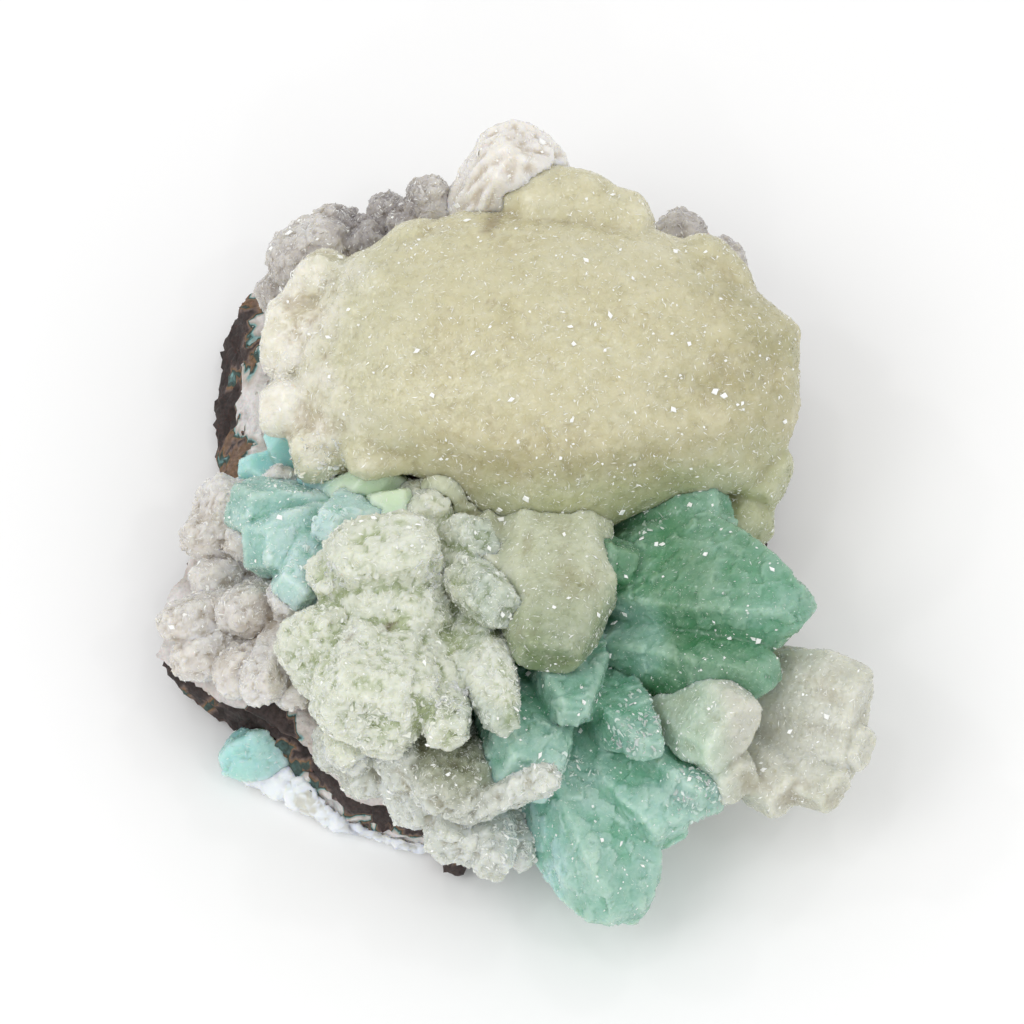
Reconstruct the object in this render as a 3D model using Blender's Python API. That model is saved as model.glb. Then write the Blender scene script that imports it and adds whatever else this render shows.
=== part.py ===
"""Stilbite with apophyllite: a basalt plate with a druse crust, stilbite sheaves and apophyllite points.

The specimen lies on the flat back of its plate, at z = 0, with its crystal face up and a little forward.
Places on the face are given in millimetres as (across, up, height). Across runs to the right. Up runs up
the face, square to its line of sight, which rises FACE_RISE from the table. Height is above the table.
"""

import math
import random

import bmesh
import bpy
from mathutils import Vector

MM = 0.001
GAP = 0.35  # mm left between neighbouring solids, so that they touch and never overlap
FACE_RISE = math.radians(62)
SIGHT = Vector((0, -math.cos(FACE_RISE), math.sin(FACE_RISE)))  # towards the viewer
BASE_SHIFT = 14.0  # mm along y that brings the origin to the middle of the plate

PLATE_TOP = 11.0  # mm, thickness of the basalt
PLATE_CHIP = 1.2  # mm, how far the foot of the edge is chipped back
CRUST_RISE = 4.5  # mm, mean thickness of the druse crust
SHARPEST = 2.5  # how many times its margin a sharp corner of a grown copy moves at most
WELD = 0.002 * MM  # points nearer than this become one
FLAT = math.radians(2.5)  # faces that bend less than this become one

# The plate's outline at its widest: (x, y, how far its top edge is set back), in mm.
PLATE = [
    (-52, -31, -2.5), (-50, -33.5, -2.5), (-46, -37.5, -1), (-40, -42.5, 1), (-36, -47.5, 3),
    (-31, -52.5, 3), (-25, -56.5, 0.5), (-18, -58.5, 0), (-13, -60.5, 0), (-9.5, -63.5, 0),
    (-3.5, -62.5, 0), (3, -58, 2), (12, -56, 2), (22, -52, 2), (28, -46, 2), (34, -38, 2),
    (38, -28, 2), (39.5, -14, 2), (41, 0, 2), (42, 12, 2), (41, 24, 2), (37, 32, 2),
    (28, 39, 2), (14, 43, 2), (0, 44, 2), (-14, 44, 2), (-26, 42, 2), (-36, 38, 2),
    (-41, 35, 2), (-45, 31, 3), (-46.5, 24, 6), (-47, 14, 6), (-46.5, 6, 5), (-47, 1, 3),
    (-48.5, -8, 0), (-49.5, -16, -1), (-51.5, -24, -2),
]

# Cross-sections, as shares of half the width and half the thickness.
PLATY = [(1, -0.45), (1, 0.45), (0.6, 1), (-0.6, 1), (-1, 0.45), (-1, -0.45), (-0.6, -1), (0.6, -1)]
LEAN = [(1, -0.2), (0.6, 1), (-0.6, 0.9), (-1, 0.2), (-0.6, -1), (0.6, -0.9)]
PILLOW = [(1, -1), (1.08, 0), (1, 1), (0, 1.08), (-1, 1), (-1.08, 0), (-1, -1), (0, -1.08)]
SQUARE = [(1, -1), (1, 1), (-1, 1), (-1, -1)]

# How a crystal swells along its length: (share of the length, share of the full section).
STOUT = [(0, 0.75), (0.5, 1.0), (0.86, 0.88), (1, 0.45)]
BLOCKY = [(0, 0.8), (0.5, 0.97), (0.9, 1.0), (1, 0.72)]
FLARED = [(0, 0.4), (0.4, 0.74), (0.82, 1.0), (1, 0.82)]
STEEPLE = [(0, 0.78), (0.35, 1.0), (0.62, 0.9), (0.85, 0.6), (1, 0.27)]
BLUNT = [(0, 0.82), (0.4, 1.0), (0.75, 0.8), (1, 0.35)]
BLUNT_END = [(0, 0.82), (0.45, 1.0), (0.85, 0.88), (1, 0.55)]
LONG_BLUNT = [(0, 0.8), (0.3, 1.0), (0.6, 0.95), (0.82, 0.78), (0.94, 0.55), (1, 0.3)]
HANGING = [(0, 0.7), (0.35, 0.95), (0.62, 1.0), (0.85, 0.78), (1, 0.5)]
ROUNDED = [(0, 0.55), (0.4, 0.85), (0.72, 1.0), (0.92, 0.8), (1, 0.45)]


def place(across, up, height):
    """The point of the row frame, in millimetres, that lies at this place on the face."""
    y = (up - height * math.cos(FACE_RISE)) / math.sin(FACE_RISE)
    return Vector((across, y + BASE_SHIFT, height))


def mesh_of(points, faces, name="shape"):
    """A mesh in metres from points in millimetres."""
    mesh = bpy.data.meshes.new(name)
    mesh.from_pydata([p * MM for p in points], [], faces)
    work = bmesh.new()
    work.from_mesh(mesh)
    bmesh.ops.recalc_face_normals(work, faces=work.faces)
    bmesh.ops.triangulate(work, faces=[f for f in work.faces if len(f.verts) > 3])
    work.to_mesh(mesh)
    work.free()
    return mesh


def loft(rings):
    """A closed mesh through rings of equally many points, with flat ends."""
    count = len(rings[0])
    points = [p for ring in rings for p in ring]
    faces = [list(range(count))[::-1], [len(points) - count + i for i in range(count)]]
    for r in range(len(rings) - 1):
        for i in range(count):
            a, b = r * count + i, r * count + (i + 1) % count
            faces += [[a, b, b + count], [a, b + count, a + count]]
    return mesh_of(points, faces)


def crystal(root, tip, wide, thick, profile=STOUT, section=LEAN, roll=0.0, rough=0.06, seed=0):
    """One crystal from root to tip, its broad side facing the viewer, then rolled by some degrees."""
    root, tip = place(*root), place(*tip)
    axis = (tip - root).normalized()
    side = axis.cross(SIGHT).normalized()
    out = side.cross(axis).normalized()
    turn = math.radians(roll)
    side, out = side * math.cos(turn) + out * math.sin(turn), out * math.cos(turn) - side * math.sin(turn)
    dice = random.Random(f"crystal {seed}")
    rings = []
    for along, scale in profile:
        ring = []
        for a, b in section:
            swell = scale * (1 + dice.uniform(-rough, rough)) / 2
            ring.append(root + (tip - root) * along + side * a * swell * wide + out * b * swell * thick)
        rings.append(ring)
    return loft(rings)


def point(root, tip, wide, thick, profile=BLUNT, section=SQUARE, roll=0.0, seed=0):
    """A square apophyllite crystal from root to tip."""
    return crystal(root, tip, wide, thick, profile, section, roll=roll, rough=0.02, seed=seed)


def grown(mesh, margin):
    """A copy whose every face lies a margin in mm further out."""
    work = bmesh.new()
    work.from_mesh(mesh)
    work.normal_update()
    moves = [v.normal * min(v.calc_shell_factor(), SHARPEST) * margin * MM for v in work.verts]
    for v, move in zip(work.verts, moves):
        v.co += move
    copy = mesh.copy()
    work.to_mesh(copy)
    work.free()
    return copy


PLATE_MIDDLE = Vector((-4, -10, 0))


def finely_broken(x, y):
    """Whether this part of the plate's edge shows, at the left and the front."""
    return x < -44 or (x < 0 and y < -36)


def plate_ring(inset_of, height, dice, jitter):
    """One ring round the plate, set in towards its middle, with more points where the edge shows."""
    ring = []
    for n, (x, y, back) in enumerate(PLATE):
        following = PLATE[(n + 1) % len(PLATE)]
        for share in (0, 0.5) if finely_broken(x, y) else (0,):
            p = Vector((x, y, 0)).lerp(Vector((following[0], following[1], 0)), share)
            setback = back + (following[2] - back) * share
            p += (PLATE_MIDDLE - p).normalized() * (inset_of(setback) + dice.uniform(-jitter, jitter))
            ring.append(Vector((p.x, p.y + BASE_SHIFT, height + dice.uniform(-jitter, jitter) / 3)))
    return ring


def plate_rings(levels, name):
    """Rings round the plate from (height, how far that level is set in, its roughness), all in mm."""
    dice = random.Random(name)
    return [plate_ring(inset_of, height, dice, jitter) for height, inset_of, jitter in levels]


def plate_shape():
    """The basalt: a broken plate, flat below, whose edge leans out towards the foot at the left."""
    return loft(plate_rings([
        (0, lambda back: PLATE_CHIP, 0.0),
        (1.8, lambda back: 0.0, 0.4),
        (6.0, lambda back: back * 0.4, 0.7),
        (9.5, lambda back: back * 0.8, 0.6),
        (PLATE_TOP, lambda back: back + 1.0, 0.0),
    ], "basalt"))


def crust_shape():
    """The druse: a lumpy carpet on the plate that just overhangs its upper edge."""
    floor = PLATE_TOP + GAP
    rings = plate_rings([
        (floor, lambda back: back + 1.0, 0.0),
        (floor + 0.35 * CRUST_RISE, lambda back: back - 1.1, 0.7),
        (floor + 0.85 * CRUST_RISE, lambda back: back + 1.6, 0.9),
    ], "crust")
    dice = random.Random("crust top")
    middle = PLATE_MIDDLE + Vector((0, BASE_SHIFT, floor + CRUST_RISE))
    rim = rings[-1]
    for share in (0.75, 0.35):
        ring = [middle + Vector((p.x - middle.x, p.y - middle.y, 0)) * share for p in rim]
        rings.append([p + Vector((0, 0, dice.uniform(-1.0, 1.2))) for p in ring])
    return loft(rings)


# The main sheaf's rim, counter-clockwise from its left end, as places on the face in mm.
SHEAF_RIM = [
    (-33, 24), (-34, 19), (-33, 14), (-30, 9.5), (-25, 7), (-18, 7), (-11, 4), (-5, 0), (1, -3),
    (8, -4.5), (14, -3), (20, 0), (26, 2.5), (32, 2.5), (38, 4), (42.5, 9), (44.8, 15), (45, 22),
    (45.2, 29), (39.5, 33.5), (34.5, 38.5), (28, 42), (21, 44.5), (12, 46), (2, 46.5), (-8, 47),
    (-17, 44.5), (-25, 40), (-31, 33.5),
]
SHEAF_CENTRE = Vector((5, 21.5))
SHEAF_SIZE = Vector((38, 25))
SHEAF_RIM_HEIGHT = 34.0  # mm above the table at the sheaf's centre
SHEAF_CLIMB = 0.28  # mm of height for each mm up the face
SHEAF_BULGE = 15.0  # mm that the dome stands above its rim
SHEAF_OUT = Vector((0, -0.31, 0.95))

# The sheaf's rings, from its root to its top: (share of the rim, mm below it or share of the bulge above it).
SHEAF_RINGS = [
    (0.55, -28), (0.88, -10), (1.0, 0), (0.96, 0.22),
    (0.84, 0.5), (0.62, 0.78), (0.34, 0.95), (0.1, 1.0),
]


def sheaf_shape():
    """The main sheaf: a domed pad with a many-sided rim, narrowing towards its root in the crust."""
    dice = random.Random("sheaf")
    rings = []
    for share, lift in SHEAF_RINGS:
        deep = lift if lift <= 0 else lift * SHEAF_BULGE
        ring = []
        for x, y in SHEAF_RIM:
            rim = Vector((x, y)) - SHEAF_CENTRE
            turn = math.atan2(rim.y / SHEAF_SIZE.y, rim.x / SHEAF_SIZE.x)
            even = Vector((SHEAF_SIZE.x * math.cos(turn), SHEAF_SIZE.y * math.sin(turn)))
            across, up = SHEAF_CENTRE + even.lerp(rim, share * share) * share
            height = SHEAF_RIM_HEIGHT + SHEAF_CLIMB * (up - SHEAF_CENTRE.y)
            ring.append(place(across, up, height) + SHEAF_OUT * (deep + share * dice.uniform(-0.3, 0.3)))
        rings.append(ring)
    return loft(rings)


def stilbite_main_sheaf():
    """The domed sheaf and the lobes and jagged blades that stand out of its rim."""
    return [
        sheaf_shape(),
        crystal((-16, 16, 32), (-39, 16.3, 31), 9.5, 8, BLOCKY, seed=1),
        crystal((-14, 13, 31), (-34.2, 8.7, 30), 9.5, 8, BLOCKY, seed=2),
        crystal((-8, 13, 33), (-26, 8, 34), 9.5, 7, seed=3),
        crystal((-12, 26, 34), (-38.5, 27.5, 32), 15, 11, BLOCKY, seed=4),
        crystal((-16, 28, 34), (-33.5, 37.5, 36), 12.5, 9, BLOCKY, seed=6),
        crystal((-13, 27, 34), (-22.5, 36.5, 45), 10, 8, seed=7),
        crystal((-10, 34, 36), (-19, 43.5, 42), 13, 8, seed=8),
        crystal((6, 34, 36), (8.5, 53.5, 43), 18, 12, ROUNDED, PLATY, seed=9),
        crystal((12, 32, 36), (18, 50, 43), 13, 11, seed=10),
        crystal((20, 26, 34), (35, 40, 39), 16, 11, ROUNDED, PLATY, seed=11),
        crystal((24, 12, 26), (42.3, 4.5, 27), 11, 9, FLARED, seed=15),
        crystal((26, 10, 20), (38.5, -4, 23), 9, 9, BLOCKY, seed=16),
        crystal((20, 20, 13), (39.5, 26, 22), 13, 10, seed=17),
        crystal((18, 8, 13), (39, 9, 19), 12, 9, seed=18),
    ]


def stilbite_top_block():
    """The stout striated crystal that stands up behind the main sheaf, leaning to the right."""
    return [
        crystal((-14, 31, 13), (2.4, 57.8, 48), 12, 12, BLOCKY, PLATY, roll=-20, seed=21),
        crystal((-6, 32, 14), (6, 55.6, 45), 7, 10, BLOCKY, roll=12, seed=22),
    ]


def stilbite_rear_left():
    """Grey-white crystals along the upper left rim, behind the main sheaf."""
    return [
        crystal((-22, 27, 13), (-34, 43.5, 31), 13, 11, BLOCKY, PLATY, seed=31),
        crystal((-20, 30, 13), (-30, 47.6, 29), 10, 8, seed=32),
        crystal((-14, 32, 13), (-20.5, 49.3, 31), 8.5, 8, seed=33),
        crystal((-9, 32, 13), (-13.5, 51.6, 37), 9.5, 9, seed=34),
        crystal((-26, 24, 13), (-39.5, 36.5, 22), 7.5, 8, seed=35),
        crystal((-16, 28, 13), (-25, 44.5, 30), 10, 9, BLOCKY, seed=37),
        crystal((-10, 30, 13), (-16.8, 47.5, 33), 8, 8, BLOCKY, seed=38),
    ]


def stilbite_rear_right():
    """Small grey crystals that show behind the upper right rim."""
    return [
        crystal((22, 30, 13), (27.5, 46.5, 31), 10, 9, seed=43),
        crystal((25, 26, 13), (34.5, 42, 29), 10, 9, seed=44),
    ]


def stilbite_left_rim():
    """Beige and white crystals that overhang the left rim of the plate, and the long clear prism on them."""
    return [
        crystal((-34, -3, 12), (-48, 0.5, 22), 12, 10, BLOCKY, seed=51),
        crystal((-35, -5, 12), (-51, -4, 21), 8, 8, seed=52),
        crystal((-32, -5, 12), (-43, -4, 26), 9, 8, seed=53),
        crystal((-38, -1, 12), (-35.8, 5.4, 25), 6.5, 6.5, seed=54),
        crystal((-36, -9, 12), (-49.5, -11, 20), 7.5, 6, seed=55),
        crystal((-36, -14, 12), (-54, -17.8, 22), 8.5, 8.5, seed=56),
        crystal((-33, -13, 12), (-44, -16, 25), 9, 9, seed=57),
        crystal((-36, -18, 12), (-52, -23.8, 20), 8.5, 8, seed=58),
        crystal((-33, -20, 12), (-44.5, -26.5, 22), 9.5, 8, seed=59),
        crystal((-36, -20, 12), (-33.5, -29, 24), 7, 6.5, seed=61),
        crystal((-30, -9, 14), (-39.5, -28, 27), 7, 6.5, BLOCKY, roll=30, seed=62),
        crystal((-30, -12, 13), (-35.5, -14, 29), 8, 7, seed=63),
    ]


def stilbite_bow_tie():
    """The cream bow tie in the middle, with the blades that radiate from its waist."""
    return [
        crystal((-18, -14, 12), (-19, -16.5, 36), 20, 15, ROUNDED, PLATY, seed=71),
        crystal((-18, -18, 22), (-20.5, -3.5, 41), 17, 12, BLOCKY, PLATY, seed=72),
        crystal((-19, -17, 22), (-28.5, -8.5, 36), 10, 9, FLARED, seed=73),
        crystal((-18, -12, 22), (-22.5, -32, 37), 17, 13, BLOCKY, PLATY, seed=75),
        crystal((-19, -16, 22), (-31.5, -23.5, 34), 14, 11, BLOCKY, PLATY, seed=76),
        crystal((-17, -14, 22), (-15, -30, 37), 10, 9, FLARED, seed=77),
        crystal((-18, -2, 20), (-1.2, -15, 39), 8.5, 8, BLOCKY, seed=78),
        crystal((-13, -8, 22), (-10, -34.5, 36), 8, 7, BLOCKY, roll=20, seed=79),
        crystal((-9, -10, 22), (-1, -32.5, 38), 9.5, 8, HANGING, roll=-15, seed=80),
        crystal((-18, -10, 16), (-4.5, -4, 36), 9, 7, BLOCKY, seed=81),
        crystal((-18, -10, 16), (-11.5, 1.7, 34), 9, 7, seed=82),
        crystal((-16, -10, 14), (-13, 3.5, 30), 12, 9, seed=85),
        crystal((-19, -24, 18), (-19.5, -35.5, 32), 9, 7, BLOCKY, seed=83),
        crystal((-19, -24, 16), (-26.5, -37.5, 27), 8, 7, seed=84),
    ]


def stilbite_lower_fan():
    """The yellow-green fan that hangs from under the main sheaf, pointing down the face."""
    return [
        crystal((7, 6, 24), (5.8, -22.5, 37), 19, 12, HANGING, PLATY, seed=91),
        crystal((2, -7, 11), (4, -12, 32), 15, 9, seed=92),
        crystal((2, 2, 18), (-4.5, -13, 34), 15, 10, seed=93),
        crystal((4, 3, 20), (-13, 3.2, 32.5), 10, 9, ROUNDED, seed=94),
    ]


def stilbite_front():
    """Crystals along the front rim: a long serrated slab of striated blades, and one finger."""
    return [
        crystal((-11, -34, 14), (-29.5, -36.5, 20), 9, 8, BLOCKY, seed=101),
        crystal((-8, -36, 13), (-25.5, -41, 19), 8.5, 8, BLOCKY, seed=102),
        crystal((-4, -36, 13), (-17.5, -45, 20), 10.5, 8, BLOCKY, PLATY, seed=103),
        crystal((-4, -36, 13), (-8.5, -52.3, 19), 12, 7, FLARED, seed=104),
        crystal((-2, -36, 13), (-3, -54.8, 19), 6.5, 7, FLARED, seed=105),
        crystal((-6, -28, 13), (-10, -45, 28), 15, 9, ROUNDED, PLATY, seed=106),
        crystal((-8, -46.5, 23), (6.5, -40, 34), 5, 5, BLOCKY, seed=107),
        crystal((0, -36, 13), (1.8, -54.5, 15), 5.5, 6, seed=108),
        crystal((-8, -32, 13), (-27, -36, 25), 10, 8, BLOCKY, seed=109),
        crystal((-6, -30, 13), (-18, -40, 27), 10, 8, BLOCKY, seed=110),
    ]


def stilbite_right_fan():
    """The grey-cream fan at the lower right, with the pale blade that joins it to the green crystals."""
    return [
        crystal((22, -27, 13), (53.3, -33, 25), 21, 8, FLARED, PLATY, seed=111),
        crystal((26, -26, 13), (46, -24.5, 23), 8, 7, FLARED, seed=112),
        crystal((28, -26, 13), (54, -27, 25), 8, 6.5, FLARED, seed=113),
        crystal((28, -30, 13), (54.4, -36.5, 24), 8, 6.5, FLARED, seed=114),
        crystal((26, -30, 13), (50, -43.5, 22), 9, 7, FLARED, seed=115),
        crystal((24, -28, 13), (42.5, -44, 21), 10, 7, FLARED, seed=116),
        crystal((22, -28, 14), (35, -42, 24), 9, 7, FLARED, seed=117),
        crystal((16, -22, 14), (34, -34.5, 30), 14, 8, FLARED, PLATY, seed=118),
    ]


def apophyllite_left():
    """The broad crystal at the left, whose dark end edge faces down and left."""
    return [
        point((-20, -3, 13), (-42.6, 0.6, 30), 10, 10, BLUNT_END, roll=10, seed=121),
        point((-20, 0, 13), (-34.5, -12.4, 31), 13, 11, BLUNT, roll=-12, seed=122),
        point((-20, -2, 13), (-39.6, -5.4, 31), 11, 10, BLUNT_END, roll=4, seed=123),
        point((-16, -3, 14), (-29, -2, 34), 11, 10, BLUNT, roll=20, seed=124),
    ]


def apophyllite_right():
    """The two large green points at the right, grown through each other, and a third beneath the sheaf."""
    return [
        point((12, -10, 13), (44.6, -15, 36), 20, 17, STEEPLE, PILLOW, roll=38, seed=131),
        point((10, -20, 13), (40, -25, 31), 15, 14, STEEPLE, PILLOW, roll=50, seed=132),
        point((14, -8, 13), (33, 1, 30), 15, 12, BLUNT, roll=25, seed=133),
        point((8, -12, 13), (17, -8, 33), 12, 12, BLUNT, roll=40, seed=135),
    ]


def apophyllite_front():
    """The green points at the front, which lean over the plate's edge."""
    return [
        point((3, -26, 13), (17.6, -62, 17), 17.5, 15, LONG_BLUNT, PILLOW, roll=35, seed=141),
        point((6, -28, 13), (24.5, -49.5, 20), 11, 11, BLUNT_END, roll=25, seed=142),
        point((10, -30, 13), (30.5, -44.5, 23), 9.5, 9, BLUNT_END, roll=50, seed=143),
        point((6, -16, 13), (9.5, -31, 33), 13, 12, STEEPLE, roll=20, seed=144),
        point((8, -22, 13), (21.5, -36.5, 30), 10, 9, BLUNT, roll=35, seed=145),
        point((0, -22, 13), (2.5, -41, 29), 13, 13, BLUNT_END, PILLOW, roll=25, seed=146),
    ]


def apophyllite_centre():
    """Small green crystals that show between the blades of the bow tie."""
    return [
        point((-9, -22, 12), (-15.5, -33.5, 27), 8, 8, roll=25, seed=151),
        point((-8, -20, 12), (-5, -20, 31), 11, 10, roll=40, seed=152),
    ]


def apophyllite_inner():
    """Small pale aqua crystals in the hollow between the main sheaf and the left rim."""
    return [
        point((-26, 6, 12), (-37.5, 12, 24), 9, 9, roll=25, seed=161),
        point((-32, 3, 12), (-42, 7.5, 20), 8, 7, roll=60, seed=162),
        point((-22, -1, 12), (-32, 4, 26), 10, 9, BLUNT_END, roll=10, seed=163),
        point((-16, -2, 12), (-26, 5, 30), 12, 9, BLUNT_END, roll=5, seed=164),
        point((-16, -6, 12), (-19, 0.8, 32), 9, 8, BLUNT_END, roll=15, seed=165),
    ]


def chalcedony_base():
    """The milky strip along the foot of the plate's front edge."""
    return [
        crystal((-32, -43, 2.6), (-42, -39.6, 2.4), 6.4, 4.8, seed=171),
        crystal((-26, -47.4, 2.6), (-35, -42.6, 2.6), 6.4, 4.8, seed=172),
        crystal((-18, -49.4, 2.6), (-28.5, -47, 2.6), 5.4, 4.6, seed=173),
        crystal((-11, -52, 2.6), (-21, -49.2, 2.4), 4.2, 4.4, seed=174),
    ]


def apophyllite_base():
    """The aqua crystal at the left end of that strip."""
    return [point((-36, -36, 6), (-45.3, -39.5, 4), 7.5, 6.5, roll=15, seed=181)]


# Colour, roughness and how much light passes through.
BASALT = ((0.10, 0.075, 0.06), 0.9, 0.0)
DRUSE = ((0.74, 0.68, 0.62), 0.55, 0.0)
STRAW = ((0.72, 0.66, 0.42), 0.4, 0.0)
CREAM = ((0.70, 0.70, 0.55), 0.4, 0.0)
GREY = ((0.66, 0.63, 0.58), 0.4, 0.0)
WHITE = ((0.86, 0.85, 0.84), 0.35, 0.0)
SEA_GREEN = ((0.16, 0.42, 0.28), 0.25, 0.3)
AQUA = ((0.34, 0.66, 0.58), 0.2, 0.3)

# Every piece in the order in which it keeps its space: a later one is cut back from the earlier ones.
PIECES = [
    ("basalt_matrix", lambda: [plate_shape()], BASALT),
    ("druse_crust", lambda: [crust_shape()], DRUSE),
    ("stilbite_main_sheaf", stilbite_main_sheaf, STRAW),
    ("stilbite_bow_tie", stilbite_bow_tie, CREAM),
    ("apophyllite_right", apophyllite_right, SEA_GREEN),
    ("apophyllite_front", apophyllite_front, SEA_GREEN),
    ("apophyllite_left", apophyllite_left, AQUA),
    ("stilbite_top_block", stilbite_top_block, WHITE),
    ("stilbite_lower_fan", stilbite_lower_fan, STRAW),
    ("stilbite_rear_left", stilbite_rear_left, GREY),
    ("stilbite_rear_right", stilbite_rear_right, GREY),
    ("stilbite_left_rim", stilbite_left_rim, GREY),
    ("stilbite_front", stilbite_front, CREAM),
    ("stilbite_right_fan", stilbite_right_fan, GREY),
    ("apophyllite_centre", apophyllite_centre, SEA_GREEN),
    ("apophyllite_inner", apophyllite_inner, AQUA),
    ("chalcedony_base", chalcedony_base, WHITE),
    ("apophyllite_base", apophyllite_base, AQUA),
]


def material(name, colour, roughness, clear):
    made = bpy.data.materials.new(name)
    made.use_nodes = True
    shader = made.node_tree.nodes["Principled BSDF"]
    shader.inputs["Base Color"].default_value = (*colour, 1)
    shader.inputs["Roughness"].default_value = roughness
    shader.inputs["Metallic"].default_value = 0.0
    shader.inputs["Transmission Weight"].default_value = clear
    made.diffuse_color = (*colour, 1)
    return made


def linked(mesh, name, collection):
    made = bpy.data.objects.new(name, mesh)
    collection.objects.link(made)
    return made


def combined(target, meshes, operation):
    """The target's mesh after one exact Boolean with all of the meshes."""
    if not meshes:
        return target.data
    tools = bpy.data.collections.new("tools")
    bpy.context.scene.collection.children.link(tools)
    for n, mesh in enumerate(meshes):
        linked(mesh, f"tool_{n}", tools)
    modifier = target.modifiers.new(operation.lower(), "BOOLEAN")
    modifier.operation = operation
    modifier.operand_type = "COLLECTION"
    modifier.collection = tools
    modifier.solver = "EXACT"
    bpy.context.view_layer.update()
    result = bpy.data.meshes.new_from_object(target.evaluated_get(bpy.context.evaluated_depsgraph_get()))
    target.modifiers.remove(modifier)
    for tool in list(tools.objects):
        bpy.data.objects.remove(tool)
    bpy.data.collections.remove(tools)
    return result


def bodies_of(work):
    """The faces of each separate body of a mesh, smallest body first."""
    left = set(work.faces)
    bodies = []
    while left:
        reached = [left.pop()]
        body = []
        while reached:
            face = reached.pop()
            body.append(face)
            for other in {f for edge in face.edges for f in edge.link_faces} & left:
                left.remove(other)
                reached.append(other)
        bodies.append(body)
    return sorted(bodies, key=lambda body: sum(f.calc_area() for f in body))


def largest_body(mesh):
    """Drops the crumbs that a cut leaves beside the main body, and joins what lies in one plane."""
    work = bmesh.new()
    work.from_mesh(mesh)
    bmesh.ops.triangulate(work, faces=work.faces)
    bmesh.ops.remove_doubles(work, verts=work.verts, dist=WELD)
    bmesh.ops.dissolve_degenerate(work, edges=work.edges, dist=WELD)
    crumbs = [f for body in bodies_of(work)[:-1] for f in body]
    bmesh.ops.delete(work, geom=crumbs, context="FACES")
    loose = [v for v in work.verts if not v.link_faces]
    bmesh.ops.delete(work, geom=loose, context="VERTS")
    bmesh.ops.dissolve_limit(work, angle_limit=FLAT, verts=work.verts, edges=work.edges)
    bmesh.ops.triangulate(work, faces=work.faces)
    work.to_mesh(mesh)
    work.free()


def box_of(mesh):
    points = [v.co for v in mesh.vertices]
    low = Vector([min(p[k] for p in points) for k in range(3)])
    high = Vector([max(p[k] for p in points) for k in range(3)])
    return low, high


def meet(a, b):
    return all(a[0][k] < b[1][k] and b[0][k] < a[1][k] for k in range(3))


def build():
    for old in list(bpy.data.objects):
        bpy.data.objects.remove(old)
    standing = []
    for name, shapes_of, (colour, roughness, clear) in PIECES:
        shapes = shapes_of()
        piece = linked(shapes[0].copy(), name, bpy.context.scene.collection)
        piece.data = combined(piece, shapes[1:], "UNION")
        own = box_of(piece.data)
        near = [mesh for mesh in standing if meet(own, box_of(mesh))]
        piece.data = combined(piece, near, "DIFFERENCE")
        piece.data.name = name
        largest_body(piece.data)
        piece.data.materials.clear()
        piece.data.materials.append(material(name, colour, roughness, clear))
        piece.data.shade_flat()
        standing += [grown(shape, GAP) for shape in shapes]


build()
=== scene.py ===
"""Stilbite with apophyllite: the druse, small crystals, colours and light laid over the specimen's solids.

Lengths are in millimetres until a mesh is made. Each piece here replaces the solid that it grows from.
A place on the crystal face is (across, up) as the viewer sees it, square to a line of sight that rises
FACE_RISE from the table.
"""

import math
from dataclasses import dataclass

import bpy
import numpy as np
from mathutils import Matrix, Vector
from mathutils.kdtree import KDTree


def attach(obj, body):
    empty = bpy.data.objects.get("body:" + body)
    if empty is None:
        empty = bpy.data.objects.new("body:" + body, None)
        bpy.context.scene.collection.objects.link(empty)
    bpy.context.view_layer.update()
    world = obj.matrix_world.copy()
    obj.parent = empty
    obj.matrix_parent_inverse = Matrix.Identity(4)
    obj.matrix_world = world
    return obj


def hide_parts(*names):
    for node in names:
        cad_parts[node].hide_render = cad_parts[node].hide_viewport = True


MM = 0.001
FACE_RISE = math.radians(62)
BASE_SHIFT = 14.0  # mm along y from the origin to the line of sight through the face's zero
CRUST_FLOOR = 11.3  # mm above the table where the rock of the plate ends and its crust begins
MILK_TOP = 5.5  # mm above the table where the milky film on the plate's front wall ends

# How a skin is made.
SWELL = 0.25  # mm that each skin stands out from its solid, so that neighbours meet
LOWEST_SKIN = 0.02  # mm above the table below which no skin reaches
SMOOTHER = 60  # more rounds of smoothing for the skin that the relief is measured from
LIGHTER = 0.38  # share of a skin's triangles that are kept, most of them where it bends
FAN_REACH = 25.0  # mm from the root of a sheaf at which its striations have their stated width
FAN_DRIFT = 0.06  # how fast striations change along their length
OCTAVE_SUM = 1.6  # nearly the sum of three octaves, so that rough noise stays near -1 to 1

# Where small crystals are set.
LOWEST_FACING = -0.35  # upward part of the normal below which there are none
FOOT = 1.5  # mm above the table below which there are none
PATCH_SIZE = 11.0  # mm across a patch that has more of them
SHARP_BEND = 0.8  # cosine of the turn between two faces above which their edge counts as blunt
SHORTEST_EDGE = 1.0  # mm below which an edge carries none
NARROWEST = 0.45  # share of its full width that the narrowest one has
DRUSE_PROUD = 0.55  # how proud the materials take them to be, from 0 in a hollow to 1 on an edge, and so how much painted shade and painted edge light they get
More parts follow.
